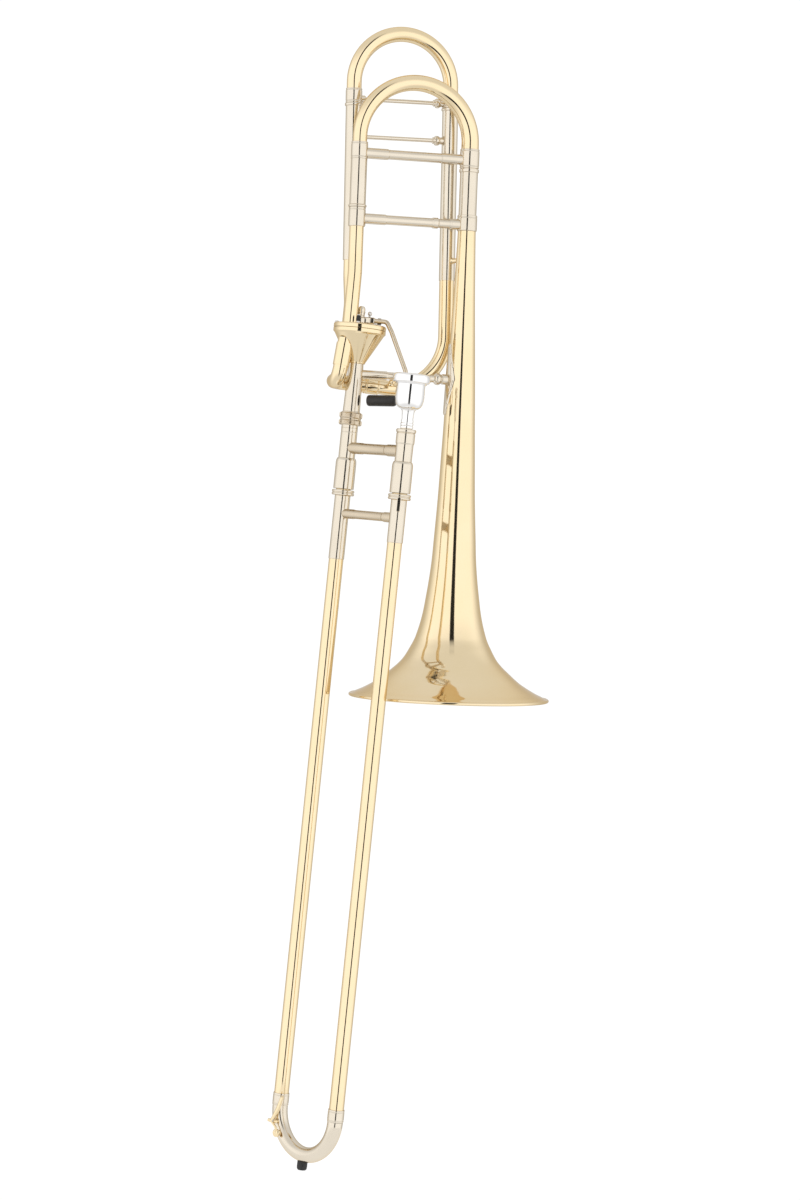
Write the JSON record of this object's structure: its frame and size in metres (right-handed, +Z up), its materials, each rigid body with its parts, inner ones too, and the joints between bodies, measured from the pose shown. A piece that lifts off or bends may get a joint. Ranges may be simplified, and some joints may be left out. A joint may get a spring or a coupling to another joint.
{
  "type": "tenor trombone",
  "caption": "Tenor trombone with an open-wrap F attachment, conical axial-flow valve, hand slide, tuning slides, water key and mouthpiece.",
  "frame": {"origin": "centre of the flat end face of the rubber bumper below the slide crook, midway between the two slide tubes", "axes": "+Z up along the hand slide, +X across the bell section from the neckpipe to the bell, +Y away from the mouthpiece side"},
  "size_m": [0.2827, 0.2159, 1.2207],
  "materials": {
    "brass": "polished and clear lacquered",
    "nickel_silver": "polished nickel silver",
    "silver_plate": "polished silver plate",
    "black_rubber": "matt",
    "black_grip": "satin",
    "cork": "natural",
    "steel": "bright"
  },
  "bodies": {
    "bell_section": {"bell_flare": "brass", "bell_rim_wire": "brass", "grip_flange": "nickel_silver", "leg_ferrules": "nickel_silver", "main_outer_leg": "nickel_silver", "neck_inner_leg": "nickel_silver", "neckpipe": "brass", "fixed_braces": "nickel_silver", "f_outer_legs": "nickel_silver", "f_feed_pipe": "brass", "f_return_bow": "brass", "f_return_ferrules": "brass", "f_return_elbow": "brass", "f_struts": "brass", "valve_casing": "brass", "valve_backplate": "brass", "plate_screws_and_stops": "steel", "stop_bumpers": "black_rubber", "return_spring": "steel", "bell_receiver": "nickel_silver", "grip_brace": "nickel_silver"},
    "main_tuning_slide": {"main_tuning_bow": "brass", "main_bow_ferrules": "nickel_silver", "main_reversed_leg": "nickel_silver", "main_inner_leg": "nickel_silver", "main_bow_brace": "nickel_silver"},
    "f_tuning_slide": {"f_tuning_bow": "brass", "f_bow_ferrules": "nickel_silver", "f_inner_legs": "nickel_silver", "f_bow_brace": "nickel_silver"},
    "rotor_and_lever": {"valve_rotor": "nickel_silver", "lever_hub": "nickel_silver", "spindle_cap": "nickel_silver", "lever_set_screw": "steel", "lever_rod": "nickel_silver", "thumb_grip": "black_grip"},
    "inner_slide": {"inner_tubes": "nickel_silver", "stockings": "nickel_silver", "cork_barrels": "nickel_silver", "slide_corks": "cork", "upper_sleeve_a": "nickel_silver", "mouthpiece_receiver": "nickel_silver", "leadpipe": "brass", "inner_brace": "nickel_silver", "slide_tenon": "nickel_silver"},
    "lock_nut": {"lock_nut": "nickel_silver"},
    "mouthpiece": {"mouthpiece": "silver_plate"},
    "outer_slide": {"outer_tubes": "brass", "oversleeves": "nickel_silver", "crook_ferrules": "nickel_silver", "top_ring": "nickel_silver", "outer_brace": "nickel_silver", "slide_crook": "nickel_silver", "bumper_socket": "brass", "bumper": "black_rubber", "water_key_base": "brass", "water_key_screw": "brass"},
    "slide_lock": {"slide_lock_ring": "nickel_silver"},
    "water_key": {"water_key_lever": "brass", "water_key_cork": "cork"}
  },
  "joints": [
    {"name": "main_tuning_pull", "type": "slide", "parent": "bell_section", "child": "main_tuning_slide", "axis": [-0.0659, 0, 0.9978], "range_m": [0, 0.045]},
    {"name": "f_tuning_pull", "type": "slide", "parent": "bell_section", "child": "f_tuning_slide", "axis": [-0.0845, 0, 0.9964], "range_m": [0, 0.1]},
    {"name": "thumb_lever", "type": "hinge", "parent": "bell_section", "child": "rotor_and_lever", "pos_m": [-0.02106, 0.03863, 0.88], "axis": [0, 0, 1], "range_deg": [-70, 0], "stiffness_Nm_per_rad": 0.05, "springref_deg": 28.65},
    {"name": "bell_lock_turn", "type": "hinge", "parent": "bell_section", "child": "inner_slide", "pos_m": [-0.02106, 0.03863, 0.8], "axis": [0, 0, 1], "range_deg": [-75, 1]},
    {"name": "lock_nut_turn", "type": "hinge", "parent": "inner_slide", "child": "lock_nut", "pos_m": [-0.02106, 0.03863, 0.796], "axis": [0, 0, 1], "range_deg": [0, 540]},
    {"name": "mouthpiece_pull", "type": "slide", "parent": "inner_slide", "child": "mouthpiece", "axis": [0, 0, 1], "range_m": [0, 0.06]},
    {"name": "hand_slide", "type": "slide", "parent": "inner_slide", "child": "outer_slide", "axis": [0, 0, -1], "range_m": [0, 0.6]},
    {"name": "slide_lock_turn", "type": "hinge", "parent": "outer_slide", "child": "slide_lock", "pos_m": [0.02106, -0.03863, 0.717], "axis": [0, 0, 1], "range_deg": [-45, 0]},
    {"name": "water_key_press", "type": "hinge", "parent": "outer_slide", "child": "water_key", "pos_m": [-0.0303, 0.02949, 0.0445], "axis": [-0.6202, 0.7845, 0], "range_deg": [0, 12], "stiffness_Nm_per_rad": 0.02, "springref_deg": -22.92}
  ]
}
